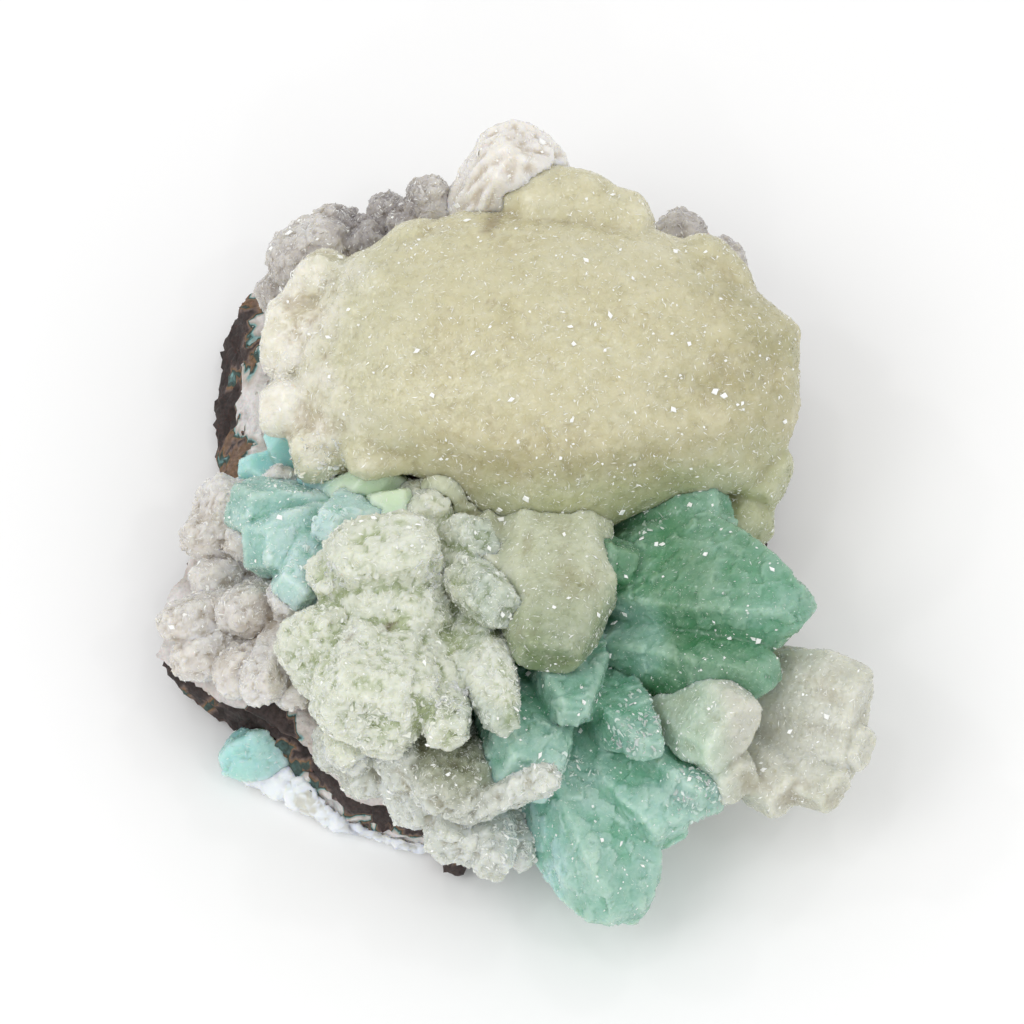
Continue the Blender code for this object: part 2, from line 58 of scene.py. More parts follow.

# Materials. Colours are linear, and a palette's stops are (position in its zone, colour).
CRYSTAL_IOR = 1.53
FROST_AND_PAINTED_LIGHT = (0.97, 0.98, 0.96, 1)  # the palest crystals, and the white of the painted glints and of the painted edge light
STAIN_BROWN = (0.16, 0.10, 0.04, 1)
STAIN_DEPTH = 0.7  # how far a stain covers what is under it
GLOW_DEPTH = 3.0  # mm that light goes into cloudy crystal
HOLLOW_SHADE_STRAW = (0.8, 0.75, 0.66)  # tints of the painted shade in the hollows between crystals, which also takes on the crystal's deeper colour there
HOLLOW_SHADE_CREAM = (0.66, 0.72, 0.50)
HOLLOW_SHADE_GREEN = (0.7, 0.9, 0.76)
STRAW = [
    (0.0, (0.78, 0.75, 0.65)), (0.15, (0.58, 0.56, 0.38)), (0.4, (0.61, 0.57, 0.37)),
    (0.52, (0.47, 0.44, 0.26)), (0.7, (0.45, 0.46, 0.27)), (1.0, (0.36, 0.39, 0.20)),
]
LOWER = [(0.0, (0.53, 0.56, 0.40)), (1.0, (0.15, 0.22, 0.09))]
CREAM = [
    (0.0, (0.71, 0.74, 0.63)), (0.35, (0.66, 0.69, 0.56)),
    (0.7, (0.50, 0.56, 0.46)), (1.0, (0.43, 0.53, 0.45)),
]
GREY = [
    (0.0, (0.52, 0.46, 0.40)), (0.35, (0.64, 0.60, 0.55)),
    (0.7, (0.72, 0.71, 0.69)), (1.0, (0.80, 0.80, 0.80)),
]
REAR = [
    (0.0, (0.30, 0.27, 0.26)), (0.35, (0.46, 0.42, 0.39)),
    (0.7, (0.62, 0.59, 0.55)), (1.0, (0.72, 0.71, 0.70)),
]
WHITE = [(0.0, (0.74, 0.70, 0.64)), (1.0, (0.85, 0.82, 0.78))]
FRONT = [
    (0.0, (0.32, 0.34, 0.23)), (0.4, (0.46, 0.48, 0.40)),
    (0.7, (0.60, 0.63, 0.57)), (1.0, (0.72, 0.75, 0.72)),
]
FAN = [
    (0.0, (0.62, 0.62, 0.54)), (0.35, (0.54, 0.55, 0.46)),
    (0.75, (0.50, 0.62, 0.49)), (1.0, (0.42, 0.56, 0.44)),
]
GREEN = [
    (0.0, (0.07, 0.22, 0.10)), (0.35, (0.14, 0.32, 0.19)),
    (0.75, (0.21, 0.41, 0.30)), (1.0, (0.26, 0.46, 0.37)),
]
SEA = [
    (0.0, (0.17, 0.37, 0.27)), (0.35, (0.25, 0.47, 0.37)),
    (0.75, (0.34, 0.57, 0.48)), (1.0, (0.40, 0.64, 0.60)),
]
AQUA = [
    (0.0, (0.20, 0.42, 0.34)), (0.25, (0.32, 0.55, 0.49)),
    (0.6, (0.48, 0.69, 0.65)), (1.0, (0.60, 0.78, 0.76)),
]
POOL = [(0.0, (0.34, 0.68, 0.66)), (0.4, (0.46, 0.72, 0.66)), (1.0, (0.64, 0.80, 0.56))]
MILK = [(0.0, (0.50, 0.70, 0.72)), (0.35, (0.80, 0.87, 0.90)), (1.0, (0.90, 0.93, 0.95))]
GROUND = [
    (0.0, (0.016, 0.012, 0.011)), (0.2, (0.07, 0.05, 0.046)), (0.3, (0.17, 0.125, 0.11)),
    (0.42, (0.24, 0.14, 0.07)), (0.46, (0.05, 0.08, 0.068)), (0.54, (0.06, 0.11, 0.10)),
    (0.6, (0.22, 0.42, 0.42)), (0.68, (0.50, 0.45, 0.40)), (1.0, (0.82, 0.80, 0.80)),
]

# Brown spots on the crystals, and spots on the ground: (across, up, radius) in mm on the face.
STAINS = [(-3, 45.3, 0.9), (-3.8, 44, 0.6), (-19, -17.5, 0.7), (-18, -17, 0.5), (-25, -19, 0.5)]
ROCK = [(-44, 28, 4.5), (-45, 16, 3), (-44, 10, 3), (-38, -33, 5)]
GREEN_EARTH = [
    (-36, -37, 2.2), (-34, -40.5, 2.2), (-31, -42.5, 1.6), (-10, -54, 1.5), (-51, -28.5, 1.3),
    (-47, -30, 1.2),
]
RUST = [
    (-45, 7, 3), (-42, 10, 1.5), (-41.5, 23, 1.2), (-40, 33, 2), (-44, -31.5, 0.8), (-43, 34, 1.5),
    (-44, 12, 1.3),
]
CELADONITE = [
    (-40.5, 28.5, 1.4), (-40, 25.5, 1.1), (-45, 21.4, 0.9), (-43.6, 21, 1.0), (-42.2, 20.8, 0.9),
    (-46, 8.5, 1.2),
]
CRUST = [(-40.5, 17, 3), (-41, 14, 2.5), (-39, 22.5, 1.6), (-38.5, 32, 1.6), (-40, 9, 1.6)]
GROUND_SPOTS = [(ROCK, 0.12), (GREEN_EARTH, 0.5), (RUST, 0.36), (CELADONITE, 0.58), (CRUST, 0.92)]

# The stage and its light, in metres and watts.
FLOOR_HALF = 3.0
FLOOR_DROP = 0.0002  # how far the floor lies below the foot
FLOOR_WHITE = (0.93, 0.93, 0.93, 1)
SKY_STRENGTH = 0.85
LAMP_TARGET = Vector((0, 0, 0.03))
FAR_CLIP = 20.0  # how far the camera sees
GLINT_LAMPS = [(-0.2, -0.1, 1.2), (0.5, -0.3, 1.1), (-0.7, 0.2, 0.9), (0.1, -1.0, 0.8), (0.3, 0.4, 1.1)]

# The camera, in millimetres.
LENS = 350.0
SENSOR = 36.0
VIEW_WIDTH = 158.7  # across the picture, at the crystals
VIEW_DEPTH = 38.0  # from the face's zero to the crystals, along the line of sight


# Unit crystals: corners and triangles, with their long axis along z.
def unit_chip():
    """A thin rhomb: the small flat crystals of a druse."""
    corners = [(0.5, 0, 0), (0, 0.5, 0), (-0.5, 0, 0), (0, -0.5, 0), (0.1, 0.06, 0.34), (0, 0, -0.3)]
    ring = [(0, 1), (1, 2), (2, 3), (3, 0)]
    faces = [(a, b, 4) for a, b in ring] + [(b, a, 5) for a, b in ring]
    return np.array(corners), np.array(faces)


def unit_plate():
    """A four-sided flake, nearly flat."""
    rim = [(0.5, 0.08, 0), (0.02, 0.46, 0), (-0.44, 0.12, 0), (-0.12, -0.42, 0)]
    top = [(x * 0.85, y * 0.8, 0.12) for x, y, _ in rim]
    ring = [(i, (i + 1) % 4) for i in range(4)]
    faces = [(a, b, b + 4) for a, b in ring] + [(a, b + 4, a + 4) for a, b in ring]
    faces += [(4, 5, 6), (4, 6, 7), (0, 2, 1), (0, 3, 2)]
    return np.array(rim + top), np.array(faces)


def unit_blade():
    """A tabular blade with a blunt roof."""
    section = [(0.3, -0.1), (0.3, 0.1), (-0.3, 0.1), (-0.3, -0.1)]
    corners = [(x, y, -0.5) for x, y in section] + [(x, y, 0.3) for x, y in section]
    corners += [(x * 0.55, y * 0.35, 0.5) for x, y in section]
    return np.array(corners), boxed_faces(3)


def unit_point():
    """A square prism with a truncated pyramid."""
    section = [(0.3, -0.3), (0.3, 0.3), (-0.3, 0.3), (-0.3, -0.3)]
    corners = [(x, y, -0.5) for x, y in section] + [(x, y, 0.1) for x, y in section]
    corners += [(x * 0.3, y * 0.3, 0.5) for x, y in section]
    return np.array(corners), boxed_faces(3)


def unit_dash():
    """A sliver that shows as a short bright line."""
    corners = [(0.0, -0.07, -0.5), (0.0, -0.07, 0.5), (-0.09, 0.07, 0.0), (0.09, 0.07, 0.0)]
    return np.array(corners), np.array([(0, 3, 1), (0, 1, 2), (0, 2, 3), (1, 3, 2)])


def unit_seed():
    """A squat sliver for the finest sugar."""
    corners, faces = unit_dash()
    return corners * (3.2, 3.4, 0.6), faces


def boxed_faces(rings):
    """Triangles over a stack of four-cornered rings, closed at both ends."""
    faces = [(0, 2, 1), (0, 3, 2)]
    for r in range(rings - 1):
        for i in range(4):
            a, b = r * 4 + i, r * 4 + (i + 1) % 4
            faces += [(a, b, b + 4), (a, b + 4, a + 4)]
    top = (rings - 1) * 4
    faces += [(top, top + 1, top + 2), (top, top + 2, top + 3)]
    return np.array(faces)


CHIP, PLATE, BLADE, POINT = unit_chip(), unit_plate(), unit_blade(), unit_point()
DASH, SEED = unit_dash(), unit_seed()


# Noise over points in millimetres.
def hashed(cells, seed):
    """A number from 0 to 1 for each row of whole numbers, which large odd factors mix well."""
    n = cells[..., 0] * 73856093 ^ cells[..., 1] * 19349663 ^ cells[..., 2] * 83492791 ^ (seed * 40503 + 977)
    n = (n ^ (n >> 13)) * 1274126177
    n = (n ^ (n >> 15)) * 668265263
    return ((n ^ (n >> 16)) & 0xFFFFFF) / 0xFFFFFF


def noise(points, size, seed):
    """Smooth noise from -1 to 1 with lumps of that size."""
    at = points / size
    low = np.floor(at).astype(np.int64)
    part = at - low
    part = part * part * (3 - 2 * part)
    total = np.zeros(len(points))
    for corner in np.ndindex(2, 2, 2):
        weight = np.prod(np.where(corner, part, 1 - part), axis=1)
        total += weight * hashed(low + np.array(corner), seed)
    return total * 2 - 1


def rough(points, size, seed):
    """Noise in three sizes, each half of the one before."""
    return sum(noise(points, size / 2**k, seed + k) / 2**k for k in range(3)) / OCTAVE_SUM


def grains(points, size, seed):
    """For each point the middle of its grain and three random numbers of that grain."""
    low = np.floor(points / size).astype(np.int64)
    best = np.full(len(points), np.inf)
    middle = np.zeros_like(points)
    dice = np.zeros_like(points)
    for step in np.ndindex(3, 3, 3):
        cell = low + np.array(step) - 1
        own = np.stack([hashed(cell, seed + k) for k in range(3)], axis=1)
        centre = (cell + 0.15 + 0.7 * own) * size
        away = ((points - centre) ** 2).sum(axis=1)
        nearer = away < best
        best[nearer] = away[nearer]
        middle[nearer] = centre[nearer]
        dice[nearer] = np.stack([own[:, 1], own[:, 2], own[:, 0]], axis=1)[nearer]
    return middle, dice


def facets(points, size, lean, lift, seed):
    """Heights of a faceted surface: each grain is a plane with its own lean and lift."""
    middle, dice = grains(points, size, seed)
    slope = dice * 2 - 1
    return lean * (slope * (points - middle)).sum(axis=1) + lift * size * (dice[:, 0] - 0.5)


def unit(vectors):
    return vectors / np.maximum(np.linalg.norm(vectors, axis=-1, keepdims=True), 1e-9)


def ramp(values, low, high):
    """0 below low, 1 above high and a smooth rise between."""
    t = np.clip((values - low) / (high - low), 0, 1)
    return t * t * (3 - 2 * t)


def across_up(points):
    """Where points lie on the face: across and up, in mm."""
    up = (points[:, 1] - BASE_SHIFT) * math.sin(FACE_RISE) + points[:, 2] * math.cos(FACE_RISE)
    return points[:, 0], up


def place(across, up, height):
    """The point in mm that lies at this place on the face, at this height above the table."""
    y = (up - height * math.cos(FACE_RISE)) / math.sin(FACE_RISE)
    return np.array([across, y + BASE_SHIFT, height])


def spotted(points, spots, soft=0.3):
    """How much each point lies in one of the round spots on the face, (across, up, radius) in mm."""
    across, up = across_up(points)
    near = np.zeros(len(points))
    for x, y, r in spots:
        near = np.maximum(near, 1 - ramp(np.hypot(across - x, up - y), r * (1 - soft), r * (1 + soft)))
    return near


def stained(points):
    """How brown each point is."""
    return spotted(points + rough(points, 0.8, 55)[:, None], STAINS, 0.9)


# Meshes as arrays.
def arrays_of(mesh):
    """A mesh's points in mm, its triangles and its points' normals."""
    mesh.calc_loop_triangles()
    points = np.empty(len(mesh.vertices) * 3)
    mesh.vertices.foreach_get("co", points)
    faces = np.empty(len(mesh.loop_triangles) * 3, dtype=np.int64)
    mesh.loop_triangles.foreach_get("vertices", faces)
    normals = np.empty(len(mesh.vertices) * 3)
    mesh.vertices.foreach_get("normal", normals)
    return points.reshape(-1, 3) / MM, faces.reshape(-1, 3), normals.reshape(-1, 3)


def mesh_of(points, faces, name):
    mesh = bpy.data.meshes.new(name)
    mesh.vertices.add(len(points))
    mesh.vertices.foreach_set("co", (points * MM).ravel())
    mesh.loops.add(faces.size)
    mesh.loops.foreach_set("vertex_index", faces.ravel())
    mesh.polygons.add(len(faces))
    mesh.polygons.foreach_set("loop_start", np.arange(len(faces)) * 3)
    mesh.update(calc_edges=True)
    return mesh


def joined(parts):
    """Points and triangles of several shapes as one."""
    counts = np.cumsum([0] + [len(p) for p, _ in parts])
    points = np.concatenate([p for p, _ in parts])
    return points, np.concatenate([f + start for (_, f), start in zip(parts, counts)])


def planted(spots, axes, sizes, shape, dice):
    """Copies of a unit crystal at the spots, each along its axis, turned about it and narrowed at random."""
    corners, faces = shape
    axes = unit(axes)
    side = unit(np.cross(axes, dice.normal(size=axes.shape)))
    other = np.cross(axes, side) * dice.uniform(NARROWEST, 1, (len(axes), 1))
    frames = np.stack([side, other, axes], axis=1)
    points = np.einsum("kc,ncd->nkd", corners, frames) * sizes[:, None, None] + spots[:, None, :]
    starts = np.arange(len(spots))[:, None, None] * len(corners)
    return points.reshape(-1, 3), (faces[None] + starts).reshape(-1, 3)


def sampled(points, faces, density, dice):
    """Random spots on a surface, so many for each square millimetre, with the faces' normals."""
    a, b, c = (points[faces[:, k]] for k in range(3))
    normals = np.cross(b - a, c - a)
    areas = np.linalg.norm(normals, axis=1) / 2
    count = int(areas.sum() * density)
    chosen = dice.choice(len(faces), count, p=areas / areas.sum())
    s, t = np.sqrt(dice.random(count)), dice.random(count)
    spots = a[chosen] * (1 - s)[:, None] + b[chosen] * (s * (1 - t))[:, None] + c[chosen] * (s * t)[:, None]
    return spots, unit(normals[chosen])


def ridge_spots(points, faces, spacing, dice):
    """Spots every so many mm along a solid's sharp outer edges, and which way is out of it there."""
    a, b, c = (points[faces[:, k]] for k in range(3))
    normals = unit(np.cross(b - a, c - a))
    middles = (a + b + c) / 3
    edges = np.concatenate([faces[:, [0, 1]], faces[:, [1, 2]], faces[:, [2, 0]]])
    owners = np.tile(np.arange(len(faces)), 3)
    keys = np.sort(edges, axis=1) @ np.array([1, 10**6])
    order = np.argsort(keys, kind="stable")
    twin = np.nonzero(keys[order][1:] == keys[order][:-1])[0]
    first, second = owners[order[twin]], owners[order[twin + 1]]
    ends = edges[order[twin]]
    bend = (normals[first] * normals[second]).sum(axis=1)
    outward = ((middles[second] - middles[first]) * normals[first]).sum(axis=1) < 0
    length = np.linalg.norm(points[ends[:, 0]] - points[ends[:, 1]], axis=1)
    keep = (bend < SHARP_BEND) & outward & (length > SHORTEST_EDGE)
    counts = np.maximum(1, (length[keep] / spacing).astype(int))
    chosen = np.repeat(np.nonzero(keep)[0], counts)
    share = dice.random(len(chosen))[:, None]
    spots = points[ends[chosen, 0]] * share + points[ends[chosen, 1]] * (1 - share)
    return spots, unit(normals[first[chosen]] + normals[second[chosen]])


def settled(spots, points):
    """For each spot the nearest of the points."""
    tree = KDTree(len(points))
    for n, point in enumerate(points):
        tree.insert(point, n)
    tree.balance()
    return np.array([tree.find(spot)[0] for spot in spots]).reshape(-1, 3)


def skinned(parts, voxel, rounds):
    """An even skin round overlapping closed shapes, smoothed so many rounds.

    Gives its points, triangles and normals, and how far each point stands proud: its distance in mm from a
    much smoother skin.
    """
    holder = bpy.data.objects.new("skin", mesh_of(*joined(parts), "skin"))
    bpy.context.scene.collection.objects.link(holder)
    remesh = holder.modifiers.new("skin", "REMESH")
    remesh.mode = "VOXEL"
    remesh.voxel_size = voxel * MM
    smooth = holder.modifiers.new("smooth", "SMOOTH")
    skins = []
    for smoothing in (rounds, rounds + SMOOTHER):
        smooth.iterations = smoothing
        holder.update_tag()
        bpy.context.view_layer.update()
        skin = bpy.data.meshes.new_from_object(holder.evaluated_get(bpy.context.evaluated_depsgraph_get()))
        skins.append(arrays_of(skin))
        bpy.data.meshes.remove(skin)
    bpy.data.objects.remove(holder)
    (points, faces, normals), (even, _, _) = skins
    return points, faces, normals, ((points - even) * normals).sum(axis=1)


@dataclass
class Coat:
    """A coat of small crystals of one kind.

    density is their number for each square millimetre, or on a ridge the mm from one to the next. small and
    large are lengths in mm, lean is how far they stray from straight out, sunk the share of the length that
    is under the skin and pale the range of their paleness. patches thins the coat between its patches, spots
    keeps it to round spots on the face, and lying lays it down along the surface.
    """

    density: float
    small: float
    large: float
    shape: tuple = CHIP
    lean: float = 0.4
    sunk: float = 0.25
    pale: tuple = (0.0, 0.35)
    patches: float = 0.0
    spots: tuple = ()
    lying: bool = False


def directions(out, coat, dice):
    """Which way each crystal of a coat points: more or less outwards, or along the surface."""
    stray = dice.normal(size=out.shape)
    if coat.lying:
        return unit(unit(np.cross(out, stray)) + coat.lean * dice.random((len(out), 1)) * out)
    return unit(out + coat.lean * stray)


def set_crystals(spots, out, coat, dice):
    """Crystals of one coat at the spots, pointing more or less outwards, and how pale their corners are."""
    axes = directions(out, coat, dice)
    sizes = coat.small + (coat.large - coat.small) * dice.random(len(spots)) ** 2
    roots = spots - out * (sizes * coat.sunk)[:, None]
    pale = coat.pale[0] + (coat.pale[1] - coat.pale[0]) * dice.random(len(spots)) ** 1.5
    return planted(roots, axes, sizes, coat.shape, dice), np.repeat(pale, len(coat.shape[0]))


def strewn(points, faces, coat, dice):
    """One coat all over a surface, or only on its spots, and thinner where its noise is low."""
    spots, out = sampled(points, faces, coat.density, dice)
    keep = (spots[:, 2] > FOOT) & (out[:, 2] > LOWEST_FACING)
    keep &= noise(spots, PATCH_SIZE, 77) + dice.normal(scale=0.2, size=len(spots)) > coat.patches - 1
    if coat.spots:
        keep &= spotted(spots, coat.spots) > dice.random(len(spots))
    return set_crystals(spots[keep], out[keep], coat, dice)


def lightened(piece):
    """The piece with fewer triangles, most of them where it bends."""
    fewer = piece.modifiers.new("fewer", "DECIMATE")
    fewer.ratio = LIGHTER
    mesh = bpy.data.meshes.new_from_object(piece.evaluated_get(bpy.context.evaluated_depsgraph_get()))
    piece.modifiers.remove(fewer)
    full, piece.data = piece.data, mesh
    bpy.data.meshes.remove(full)


def shown(name, points, faces, values, material, smooth):
    """A piece of the specimen from arrays, with its named values at each point."""
    mesh = mesh_of(points, faces, name)
    mesh.polygons.foreach_set("use_smooth", np.full(len(faces), smooth))
    for key, numbers in values.items():
        mesh.attributes.new(key, "FLOAT", "POINT").data.foreach_set("value", numbers.astype(np.float32))
    mesh.materials.append(material)
    piece = bpy.data.objects.new(name, mesh)
    bpy.context.scene.collection.objects.link(piece)
    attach(piece, "root")
    return piece


def show_crystals(name, druses, zone, material):
    """The small crystals of a node as one piece."""
    points, triangles = joined([crystals for crystals, _ in druses])
    # each crystal's paleness, full white on the flakes that paint glints
    tone_and_glint = np.concatenate([pale for _, pale in druses])
    proud = np.full(len(points), DRUSE_PROUD)
    values = {"zone": zone(points), "tone_and_glint": tone_and_glint, "proud": proud, "stain": stained(points)}
    shown(name, points, triangles, values, material, False)


def grown(node, looks, zone, voxel, rounds, relief, knots=None, ridge=None, coats=(), clear=()):
    """The visible pieces of a node: its solid under a skin with relief, and the crystals that sit on it.

    looks are the materials of the body, of the small crystals and of the clear ones. voxel in mm and rounds
    of smoothing are the skin's, and relief is a list of functions from points to heights in mm. knots is a
    coat that fuses with the body, ridge one on its sharp edges, coats are all over it and clear are coats of
    clear crystals.
    """
    dice = np.random.default_rng(sum(node.encode()))
    solid, solid_faces, _ = arrays_of(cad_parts[node].data)
    edges, edges_out = ridge_spots(solid, solid_faces, ridge.density if ridge else 1.0, dice)
    parts = [(solid, solid_faces)]
    if knots:
        parts.append(strewn(solid, solid_faces, knots, dice)[0])
    skin, faces, normals, proud = skinned(parts, voxel, rounds)
    height = sum(f(skin) for f in relief) + np.zeros(len(skin))
    skin = skin + normals * (height + SWELL)[:, None]
    skin[:, 2] = np.maximum(skin[:, 2], LOWEST_SKIN)
    values = {
        "zone": zone(skin),
        "tone_and_glint": np.zeros(len(skin)),
        "proud": np.clip(0.5 + proud + height, 0, 1),
        "stain": stained(skin),
    }
    body = shown(node + "_body", skin, faces, values, looks[0], True)
    lightened(body)
    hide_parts(node)
    druses = [strewn(skin, faces, coat, dice) for coat in coats]
    if ridge:
        druses.append(set_crystals(settled(edges, skin), edges_out, ridge, dice))
    if druses:
        show_crystals(node + "_druse", druses, zone, looks[1])
    if clear:
        clears = [strewn(skin, faces, coat, dice) for coat in clear]
        show_crystals(node + "_clear", clears, zone, looks[2])


# Material nodes.
class Shader:
    """A material and short ways to add nodes to it."""

    def __init__(self, name):
        self.material = bpy.data.materials.new(name)
        self.material.use_nodes = True
        self.tree = self.material.node_tree
        self.surface = self.tree.nodes["Principled BSDF"]

    def add(self, kind, **settings):
        made = self.tree.nodes.new(kind)
        for key, value in settings.items():
            setattr(made, key, value)
        return made

    def put(self, socket, value):
        """Links the socket to another node's output, or sets it to a number or colour."""
        if isinstance(value, bpy.types.NodeSocket):
            self.tree.links.new(value, socket)
        else:
            socket.default_value = value

    def set(self, name, value):
        """Puts a value into the surface's own socket of that name."""
        self.put(self.surface.inputs[name], value)

    def maths(self, operation, a, b, clamp=False):
        made = self.add("ShaderNodeMath", operation=operation, use_clamp=clamp)
        self.put(made.inputs[0], a)
        self.put(made.inputs[1], b)
        return made.outputs[0]

    def vector(self, operation, a, b=(0, 0, 0), scale=1.0):
        made = self.add("ShaderNodeVectorMath", operation=operation)
        self.put(made.inputs[0], a)
        if operation == "SCALE":
            self.put(made.inputs["Scale"], scale)
        elif operation != "NORMALIZE":
            self.put(made.inputs[1], b)
        return made.outputs[0]

    def mix(self, share, a, b, blend="MIX"):
        made = self.add("ShaderNodeMix", data_type="RGBA", blend_type=blend)
        self.put(made.inputs[0], share)
        self.put(made.inputs[6], a)
        self.put(made.inputs[7], b)
        return made.outputs[2]

    def colours(self, value, stops):
        """A colour ramp with stops of (position, colour)."""
        made = self.add("ShaderNodeValToRGB")
        band = made.color_ramp
        while len(band.elements) < len(stops):
            band.elements.new(0.5)
        for element, (at, colour) in zip(band.elements, stops):
            element.position = at
            element.color = (*colour, 1)
        self.put(made.inputs[0], value)
        return made.outputs[0]

    def greys(self, value, *stops):
        """A ramp of greys with stops of (position, grey)."""
        return self.colours(value, [(at, (grey,) * 3) for at, grey in stops])

    def place(self):
        return self.add("ShaderNodeTexCoord").outputs["Object"]

    def attribute(self, name):
        return self.add("ShaderNodeAttribute", attribute_name=name).outputs["Fac"]

    def noise(self, size, detail):
        """Noise with lumps of that size in mm."""
        made = self.add("ShaderNodeTexNoise")
        self.put(made.inputs["Vector"], self.place())
        made.inputs["Scale"].default_value = 1 / (size * MM)
        made.inputs["Detail"].default_value = detail
        return made.outputs["Fac"]

    def drifting(self, name, size, detail, reach):
        """A value of the mesh that noise of that size moves up and down by half of reach."""
        drift = self.maths("MULTIPLY", self.maths("SUBTRACT", self.noise(size, detail), 0.5), reach)
        return self.maths("ADD", self.attribute(name), drift, clamp=True)

    def grain(self, size):
        """A cell pattern whose colour is random in each cell."""
        made = self.add("ShaderNodeTexVoronoi")
        self.put(made.inputs["Vector"], self.place())
        made.inputs["Scale"].default_value = 1 / (size * MM)
        return made.outputs["Color"]

    def tilted(self, size, lean):
        """The normal with a random lean of its own in each small grain, like the faces of a fine druse."""
        aside = self.vector("SUBTRACT", self.grain(size), (0.5, 0.5, 0.5))
        normal = self.add("ShaderNodeNewGeometry").outputs["Normal"]
        leaned = self.vector("ADD", normal, self.vector("SCALE", aside, scale=lean))
        return self.vector("NORMALIZE", leaned)

    def bumped(self, height, depth, strength=1.0, normal=None):
        made = self.add("ShaderNodeBump")
        made.inputs["Strength"].default_value = strength
        made.inputs["Distance"].default_value = depth * MM
        self.put(made.inputs["Height"], height)
        if normal is not None:
            self.put(made.inputs["Normal"], normal)
        return made.outputs["Normal"]


def druse_materials(name, stops, **settings):
    """The materials of a crystal's body, of the small crystals on it and of the clear ones."""
    small = {**settings, "glow": 0.0, "lean": 0.0}
    body = druse_material(name, stops, **settings)
    return body, druse_material(name + "_small", stops, **small), clear_material()


def clear_material():
    """Clear crystal with a little frost."""
    shader = Shader("clear_crystal")
    haze = shader.colours(shader.noise(1.5, 2.0), [(0.35, (0.90, 0.95, 0.95)), (0.7, (1.0, 1.0, 1.0))])
    shader.set("Base Color", haze)
    shader.set("Roughness", shader.greys(shader.noise(0.7, 2.0), (0.4, 0.1), (0.7, 0.35)))
    shader.set("Normal", shader.bumped(shader.noise(0.5, 2.0), 0.05))
    shader.set("IOR", CRYSTAL_IOR)
    shader.set("Transmission Weight", 0.5)
    return shader.material


def druse_material(name, stops, glow=0.8, grain=0.32, lean=0.25, deep=HOLLOW_SHADE_STRAW, milk=0.05):
    """Cloudy crystal: colours by zone, with painted shade in hollows and painted light on edges, and finely
    leaning facets.

    glow is how much light goes through it, grain in mm and lean are of its facets, deep is the tint of
    the painted shade in hollows, and milk how pale the painted light on edges and the clouds are.
    """
    shader = Shader(name)
    colour = shader.colours(shader.drifting("zone", 6.0, 3.0, 0.35), stops)
    # painted shade: where the skin lies low, the colour is multiplied by the deep tint, darker than the
    # crystal
    hollow = shader.colours(shader.attribute("proud"), [(0.15, deep), (0.5, (1, 1, 1))])
    colour = shader.mix(1.0, colour, hollow, "MULTIPLY")
    # painted light: proud edges are mixed towards white for the light that comes through thin edges, with
    # some milky frost
    edge = shader.greys(shader.attribute("proud"), (0.5, 0), (1.0, milk * 3))
    cloud = shader.greys(shader.noise(2.2, 4.0), (0.4, 0), (0.75, milk * 2))
    # pale adds the painted edge light, the clouds and each crystal's tone, which is full white on the painted
    # glint flakes
    pale = shader.maths("ADD", edge, shader.maths("ADD", cloud, shader.attribute("tone_and_glint")), clamp=True)
    colour = shader.mix(pale, colour, FROST_AND_PAINTED_LIGHT)
    stain = shader.maths("MULTIPLY", shader.attribute("stain"), STAIN_DEPTH)
    shader.set("Base Color", shader.mix(stain, colour, STAIN_BROWN))
    shader.set("Roughness", shader.greys(shader.noise(1.2, 1.0), (0.3, 0.14), (0.75, 0.3)))
    normal = shader.tilted(grain, lean) if lean else None
    shader.set("Normal", shader.bumped(shader.noise(0.9, 2.0), 0.08, 0.6, normal))
    shader.set("IOR", CRYSTAL_IOR)
    shader.set("Subsurface Weight", glow)
    shader.set("Subsurface Radius", (1.0, 0.9, 0.6))
    shader.set("Subsurface Scale", GLOW_DEPTH * MM)
    return shader.material


def ground_material():
    """Rock and crust by zone: dark vesicular basalt, rust, celadonite, then the beige and white crust."""
    shader = Shader("ground")
    colour = shader.colours(shader.drifting("zone", 2.5, 4.0, 0.16), GROUND)
    crumb = shader.colours(shader.noise(0.7, 6.0), [(0.3, (0.5, 0.48, 0.46)), (0.7, (1.2, 1.2, 1.2))])
    rocky = shader.greys(shader.attribute("zone"), (0.55, 1), (0.7, 0.25))
    shader.set("Base Color", shader.mix(rocky, colour, shader.mix(1.0, colour, crumb, "MULTIPLY")))
    shader.set("Roughness", shader.greys(shader.attribute("zone"), (0.55, 0.85), (0.75, 0.35)))
    shader.set("Normal", shader.bumped(shader.noise(0.9, 8.0), 0.35, 1.0, shader.tilted(0.5, 0.4)))
    shader.set("Subsurface Weight", 0.15)
    shader.set("Subsurface Scale", 1.0 * MM)
    return shader.material


# Colour zones: a number from 0 to 1 for each point. Places and widths in them are in mm on the face.
def sheaf_zone(points):
    """Cream at the left, straw in the middle, brownish at the right and olive where the pad turns under."""
    across, up = across_up(points)
    warm = ramp(across, -38, -6)
    late = ramp(across, 10, 44)
    green = ramp(-up, -16, 4)
    return np.clip(0.36 * warm + 0.14 * late + 0.5 * green * (0.5 + 0.5 * ramp(across, -24, 14)), 0, 1)


def bow_zone(points):
    """Cream lobes, greyer and greener blades to their right, and one paler blade."""
    across, _ = across_up(points)
    pale = spotted(points, [(-1, -24, 5)])
    return np.clip(0.2 + 0.5 * ramp(across, -14, -3) + 0.15 * rough(points, 6, 5) - 0.8 * pale, 0, 1)


def patchy(points):
    """Uneven patches with nothing to guide them."""
    return 0.5 + 0.4 * rough(points, 8, 31)


def rear_zone(points):
    """Uneven patches, darker beside the top block."""
    return np.clip(patchy(points) - 0.6 * spotted(points, [(-21, 47, 7)]), 0, 1)


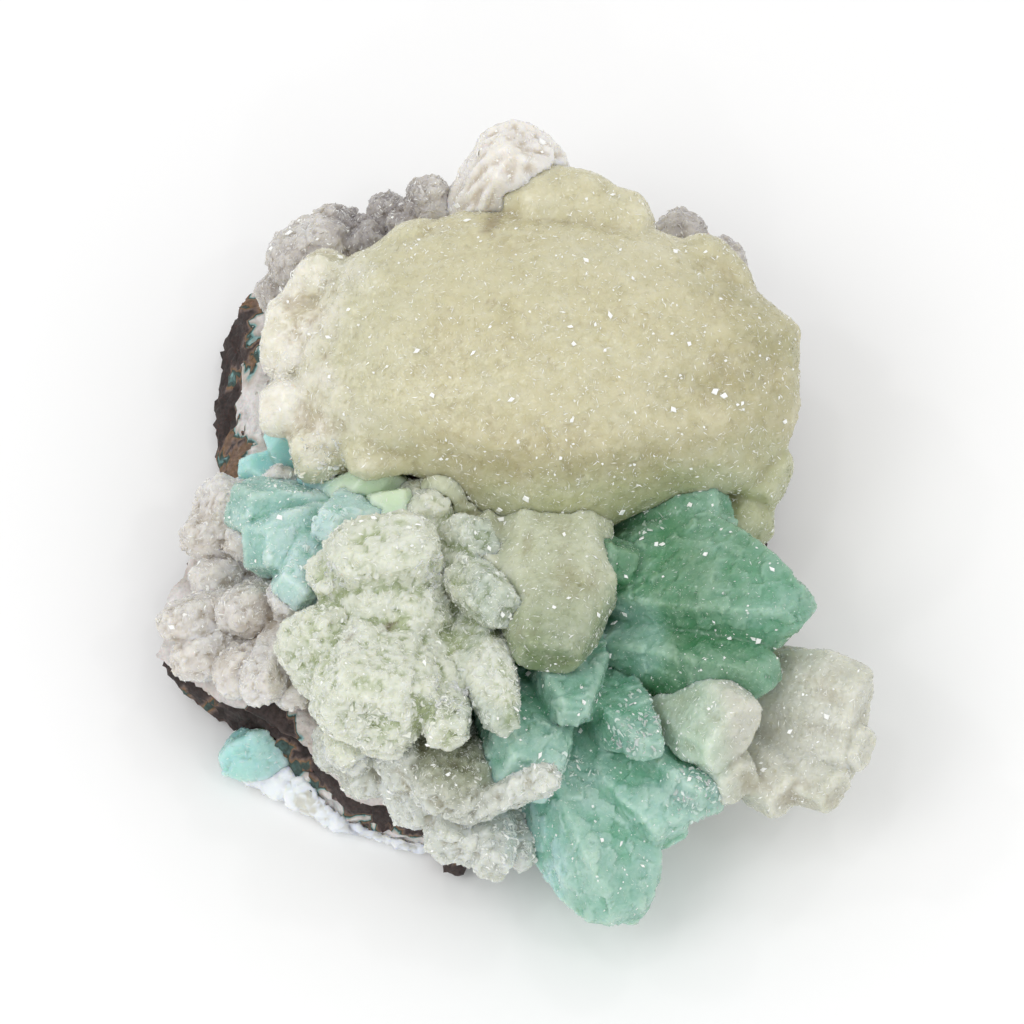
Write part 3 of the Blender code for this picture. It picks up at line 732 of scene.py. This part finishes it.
def fan_zone(points):
    """Grey-cream at the right, grading into the green of the crystals beside it."""
    across, _ = across_up(points)
    return np.clip(0.8 - 0.6 * ramp(across, 26, 38) + 0.12 * noise(points, 6, 9), 0, 1)


def point_zone(points):
    """Deep green at the root and mint towards the tips, deeper on the lower point, with painted light in the
    hollow: paler there to lift it out of its shade.
    """
    across, up = across_up(points)
    lower = ramp(-up, 16, 21)
    # painted light: the hollow under the lower fan is painted paler against the shade that falls in it
    hollow = spotted(points, [(17, -20, 7)])
    along = 0.08 + 0.7 * ramp(across, 12, 46) - 0.25 * lower + 0.9 * hollow
    return np.clip(along + 0.3 * rough(points, 7, 41), 0, 1)


def front_zone(points):
    """Sea green, paler down the left of the long point: partly that face's paler green, partly painted light
    against the shade on it.
    """
    across, up = across_up(points)
    # partly painted light: the left face of the long point is painted paler than its own green to lift its
    # shade
    left = ramp(-across, -12, -3) * ramp(-up, 34, 44)
    return np.clip(0.15 + 0.45 * ramp(-up, 22, 48) + 0.55 * left + 0.25 * rough(points, 8, 43), 0, 1)


def left_zone(points):
    """Mint, deeper at the left end, with paler patches."""
    across, _ = across_up(points)
    return np.clip(0.1 + 0.5 * ramp(across, -43, -34) + 0.35 * rough(points, 6, 47), 0, 1)


def pool_zone(points):
    """Turquoise crystals at the left of the hollow, pale green ones at its right."""
    across, _ = across_up(points)
    return np.clip(ramp(across, -33, -26) + 0.2 * rough(points, 4, 48), 0, 1)


def lower_zone(points):
    """Straw at the top of the lower fan and green at its foot."""
    _, up = across_up(points)
    return np.clip(ramp(-up, 6, 28) + 0.15 * rough(points, 6, 49), 0, 1)


def slab_zone(points):
    """Brownish in the middle of the front rim, pale grey round it."""
    middle = spotted(points, [(-9, -38, 6)], 0.5)
    return np.clip(0.7 + 0.3 * rough(points, 6, 50) - 0.7 * middle, 0, 1)


def ground_zone(points):
    """Rock at the broken edge of the plate, crust above it, with broken patches of rust and celadonite."""
    across, up = across_up(points)
    rock, crust = 0.13 + 0.1 * rough(points, 4, 51), 0.82 + 0.2 * rough(points, 5, 52)
    base = np.where(points[:, 2] < CRUST_FLOOR, rock, crust)
    milky = points[:, 2] < MILK_TOP + 4 * rough(points, 3, 57)
    milky &= (np.abs(across + 27) < 15) & (up < -34)
    base = np.where(milky, 0.95, base)
    wobbly = points + rough(points, 3, 53)[:, None] * 2.0
    crumbs = rough(points, 2.2, 56)
    for spots, value in GROUND_SPOTS:
        inside = spotted(wobbly, spots) + 0.5 * crumbs > 0.55
        base = np.where(inside, value + 0.06 * rough(points, 2, 54), base)
    return np.clip(base, 0, 1)


# Relief: functions from points to heights in mm.
def lumps(size, height, seed):
    """Smooth relief of that size."""
    return lambda points: height * rough(points, size, seed)


def planes(size, lean, lift, seed):
    """Relief of small flat faces."""
    return lambda points: facets(points, size, lean, lift, seed)


def fanned(root, width, height, seed):
    """Striations of that width that run out from a root."""
    def relief(points):
        away = points - root
        far = np.linalg.norm(away, axis=1, keepdims=True)
        return height * noise(away / far * FAN_REACH + away * FAN_DRIFT, width, seed)
    return relief


def at_left(relief):
    """The relief only where the main sheaf's lobes are."""
    return lambda points: relief(points) * ramp(-across_up(points)[0], 18, 28)


# The relief of the coarse crystals and of the smooth ones.
FINE = [planes(0.7, 0.3, 0.16, 4), planes(1.7, 0.28, 0.12, 5), lumps(6, 0.3, 3)]
SOFT = [planes(0.9, 0.15, 0.1, 4), lumps(8, 0.3, 3)]

# Coats of small crystals.
# PAINTED_GLINTS and PAINTED_SPARKS are white flakes: their colour paints the glints that light makes on
# single faces
PAINTED_GLINTS = Coat(0.02, 0.6, 1.6, PLATE, pale=(1.0, 1.0), lean=0.15, sunk=-0.08)
PAINTED_SPARKS = Coat(0.14, 0.25, 0.7, PLATE, pale=(0.6, 1.0), lean=0.25, sunk=-0.05, patches=0.7)
DASHES = Coat(1.9, 0.4, 1.3, DASH, lean=0.3, sunk=0.0, pale=(0.05, 0.9), lying=True)
BRISTLE = Coat(2.2, 0.3, 1.0, DASH, lean=0.8, sunk=-0.03, pale=(0.1, 0.95), lying=True, patches=0.8)
FINE_DASHES = Coat(2.6, 0.25, 0.8, DASH, lean=0.3, sunk=0.0, pale=(0.0, 0.6), lying=True)
SUGAR = Coat(0.75, 0.35, 0.8, SEED, lean=0.6, sunk=0.15, pale=(0.0, 0.2))
BLADES = Coat(0.5, 0.6, 1.7, BLADE, lean=0.7, sunk=0.3, pale=(0.1, 0.6), patches=0.7)
EDGE = Coat(0.4, 0.4, 1.1, BLADE, lean=0.5, sunk=0.1, pale=(0.2, 0.8))
SEA_EDGE = Coat(0.4, 0.4, 1.0, POINT, lean=0.5, sunk=0.1, pale=(0.1, 0.6))
CRUST_EDGE = Coat(0.8, 0.8, 2.0, BLADE, sunk=0.1)
CRUST_DRUSE = [Coat(0.35, 0.6, 1.8, patches=0.6), Coat(0.05, 1.0, 2.4, BLADE)]
ROCK_CHUNKS = Coat(0.04, 2.0, 4.0, POINT, lean=0.6, sunk=0.2)
SMOOTH_DRUSE = [PAINTED_GLINTS, PAINTED_SPARKS, DASHES, SUGAR]
COARSE_DRUSE = [PAINTED_GLINTS, PAINTED_SPARKS, DASHES, BRISTLE, SUGAR, BLADES]
GREEN_DRUSE = [PAINTED_GLINTS, PAINTED_SPARKS, FINE_DASHES, SUGAR]


def windows(*spots):
    """Clear blades in round spots on the face."""
    return [Coat(0.35, 0.8, 2.2, BLADE, spots=spots)]


def frosted(*spots):
    """Clusters of white blades in round spots on the face."""
    return [Coat(1.0, 0.6, 1.8, BLADE, lean=0.7, pale=(0.2, 0.65), spots=spots)]


# The specimen.
def grow_sheaf():
    """The main sheaf and the fan under it."""
    straw = druse_materials("stilbite_straw", STRAW)
    relief = [lumps(11, 0.3, 1), planes(1.5, 0.1, 0.06, 2)]
    relief += [at_left(planes(0.8, 0.25, 0.12, 6)), at_left(lumps(5, 0.9, 7))]
    coats = SMOOTH_DRUSE + frosted((-30, 8, 4), (-27, 36, 3), (-36, 22, 2.5))
    grown("stilbite_main_sheaf", straw, sheaf_zone, 0.5, 24, relief,
          ridge=EDGE, coats=coats, clear=windows((-30, 8, 4.5)))
    lower = druse_materials("stilbite_lower", LOWER)
    grown("stilbite_lower_fan", lower, lower_zone, 0.4, 14,
          SOFT + [fanned(place(6, 10, 20), 1.6, 0.3, 61)], ridge=EDGE, coats=SMOOTH_DRUSE)


def grow_bow_tie():
    """The cream bow tie in the middle."""
    cream = druse_materials("stilbite_cream", CREAM, deep=HOLLOW_SHADE_CREAM)
    grown("stilbite_bow_tie", cream, bow_zone, 0.38, 3,
          FINE + [fanned(place(-18, -16, 14), 1.4, 0.3, 62)], ridge=EDGE,
          coats=COARSE_DRUSE + frosted((-22, -34, 4), (-10, -29, 3), (-27, -2, 3)),
          clear=windows((-10, -28, 4), (-12, -9, 3), (-28, -10, 3)))


def grow_rims():
    """The top block and the grey crystals along the rear and left rims."""
    white = druse_materials("stilbite_white", WHITE, grain=0.25)
    grown("stilbite_top_block", white, patchy, 0.35, 2,
          [fanned(place(-14, 25, 0), 0.6, 0.5, 63), planes(1.0, 0.15, 0.1, 64)],
          ridge=EDGE, coats=SMOOTH_DRUSE)
    rear = druse_materials("stilbite_rear", REAR)
    grey = druse_materials("stilbite_grey", GREY)
    for node, looks, zone in (
        ("stilbite_rear_left", rear, rear_zone),
        ("stilbite_rear_right", rear, patchy),
        ("stilbite_left_rim", grey, patchy),
    ):
        grown(node, looks, zone, 0.4, 2, FINE, ridge=EDGE, coats=COARSE_DRUSE)


def grow_front():
    """The front rim and the right fan."""
    front = druse_materials("stilbite_front", FRONT)
    grown("stilbite_front", front, slab_zone, 0.4, 3,
          FINE + [fanned(place(2, -28, 12), 1.4, 0.3, 65)], ridge=EDGE,
          coats=COARSE_DRUSE + frosted((1.5, -50, 4), (-19, -35, 4)),
          clear=windows((1.5, -50, 4), (-19, -35, 3)))
    fan = druse_materials("stilbite_fan", FAN)
    grown("stilbite_right_fan", fan, fan_zone, 0.4, 8,
          SOFT + [fanned(place(20, -26, 12), 1.8, 0.3, 66)], ridge=EDGE, coats=SMOOTH_DRUSE)


def grow_green_points():
    """The sea-green points at the right, the front and the centre."""
    green = druse_materials("apophyllite_green", GREEN, deep=HOLLOW_SHADE_GREEN, milk=0.03)
    sea = druse_materials("apophyllite_sea", SEA, deep=HOLLOW_SHADE_GREEN, milk=0.05)
    skin = [lumps(6, 0.6, 11), planes(2.6, 0.15, 0.1, 13), planes(0.9, 0.14, 0.08, 12)]
    grown("apophyllite_right", green, point_zone, 0.4, 6, skin,
          ridge=SEA_EDGE, coats=GREEN_DRUSE + frosted((22, -1, 2.5)))
    grown("apophyllite_front", sea, front_zone, 0.4, 5, skin, ridge=SEA_EDGE,
          coats=GREEN_DRUSE + frosted((28, -43, 4.5), (19, -33, 4.5), (10, -40, 3)),
          clear=windows((28, -43, 4), (19, -33, 4)))
    grown("apophyllite_centre", sea, front_zone, 0.4, 4, skin, coats=GREEN_DRUSE)


def grow_aqua_crystals():
    """The blunt pyramid at the left, the small crystals in the hollow and the one at the foot."""
    aqua = druse_materials("apophyllite_aqua", AQUA, deep=HOLLOW_SHADE_GREEN, milk=0.07)
    pool = druse_materials("apophyllite_pool", POOL, lean=0.08)
    broken = [planes(3.4, 0.1, 0.05, 15), planes(0.9, 0.15, 0.08, 12)]
    grown("apophyllite_left", aqua, left_zone, 0.4, 3, broken,
          ridge=SEA_EDGE, coats=GREEN_DRUSE + [BRISTLE] + frosted((-31, -8, 4), (-28, -2, 3)))
    grown("apophyllite_inner", pool, pool_zone, 0.35, 1,
          [lumps(5, 0.15, 15)], coats=[DASHES])
    grown("apophyllite_base", pool, left_zone, 0.35, 2, broken, coats=[DASHES, SUGAR])


def grow_ground():
    """The basalt plate, its crust and the milky strip along its foot."""
    ground = ground_material()
    grown("basalt_matrix", [ground], ground_zone, 0.75, 1,
          [lumps(4, 1.0, 21), planes(1.8, 0.45, 0.25, 22)], knots=ROCK_CHUNKS)
    grown("druse_crust", [ground, ground], ground_zone, 0.7, 2,
          [lumps(4, 0.8, 23), planes(1.6, 0.25, 0.15, 25)], ridge=CRUST_EDGE, coats=CRUST_DRUSE)
    milk = druse_materials("chalcedony", MILK, grain=1.4, lean=0.1)
    grown("chalcedony_base", milk, patchy, 0.4, 6,
          [lumps(4, 1.4, 24), planes(1.6, 0.3, 0.2, 26)])


# The stage, the light and the camera.
def set_stage():
    """A pale floor that fades into a pale world."""
    corners = [(x * FLOOR_HALF, y * FLOOR_HALF, 0) for x, y in ((-1, -1), (1, -1), (1, 1), (-1, 1))]
    mesh = bpy.data.meshes.new("floor")
    mesh.from_pydata(corners, [], [(0, 1, 2, 3)])
    shader = Shader("floor")
    shader.set("Base Color", FLOOR_WHITE)
    shader.set("Roughness", 0.9)
    mesh.materials.append(shader.material)
    floor = bpy.data.objects.new("floor", mesh)
    floor.location.z = -FLOOR_DROP
    bpy.context.scene.collection.objects.link(floor)
    world = bpy.data.worlds.new("world")
    world.use_nodes = True
    sky = world.node_tree.nodes["Background"]
    sky.inputs["Color"].default_value = (1, 1, 1, 1)
    sky.inputs["Strength"].default_value = SKY_STRENGTH
    bpy.context.scene.world = world


def set_lamp(name, spot, size, power):
    """A square lamp that looks at the specimen."""
    lamp = bpy.data.lights.new(name, "AREA")
    lamp.size = size
    lamp.energy = power
    holder = bpy.data.objects.new(name, lamp)
    holder.location = spot
    holder.rotation_euler = (LAMP_TARGET - Vector(spot)).to_track_quat("-Z", "Y").to_euler()
    bpy.context.scene.collection.objects.link(holder)


def set_lamps():
    """A large key and fill, and small lamps whose light glints on single faces."""
    set_lamp("key", (-0.55, -0.35, 0.95), 0.5, 2.2)
    set_lamp("fill", (0.8, -0.5, 0.8), 0.6, 0.6)
    for n, spot in enumerate(GLINT_LAMPS):
        set_lamp(f"glint_{n}", spot, 0.06, 0.4)


def set_camera():
    """Looks down on the face from the front, with a long lens."""
    back = Vector((0, -math.cos(FACE_RISE), math.sin(FACE_RISE)))
    reach = (VIEW_DEPTH + VIEW_WIDTH * LENS / SENSOR) * MM
    camera = bpy.data.cameras.new("camera")
    camera.lens = LENS
    camera.sensor_width = SENSOR
    camera.clip_end = FAR_CLIP
    holder = bpy.data.objects.new("camera", camera)
    holder.location = Vector((0, BASE_SHIFT * MM, 0)) + back * reach
    holder.rotation_euler = (-back).to_track_quat("-Z", "Y").to_euler()
    bpy.context.scene.collection.objects.link(holder)
    bpy.context.scene.camera = holder


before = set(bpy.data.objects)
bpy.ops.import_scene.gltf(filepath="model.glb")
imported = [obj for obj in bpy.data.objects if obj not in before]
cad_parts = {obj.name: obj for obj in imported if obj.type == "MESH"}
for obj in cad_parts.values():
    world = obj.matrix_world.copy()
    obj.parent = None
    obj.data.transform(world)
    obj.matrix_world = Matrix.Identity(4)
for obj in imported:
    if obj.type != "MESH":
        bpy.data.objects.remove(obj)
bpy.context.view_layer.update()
bpy.context.scene.view_settings.view_transform = "Standard"
grow_sheaf()
grow_bow_tie()
grow_rims()
grow_front()
grow_green_points()
grow_aqua_crystals()
grow_ground()
set_stage()
set_lamps()
set_camera()
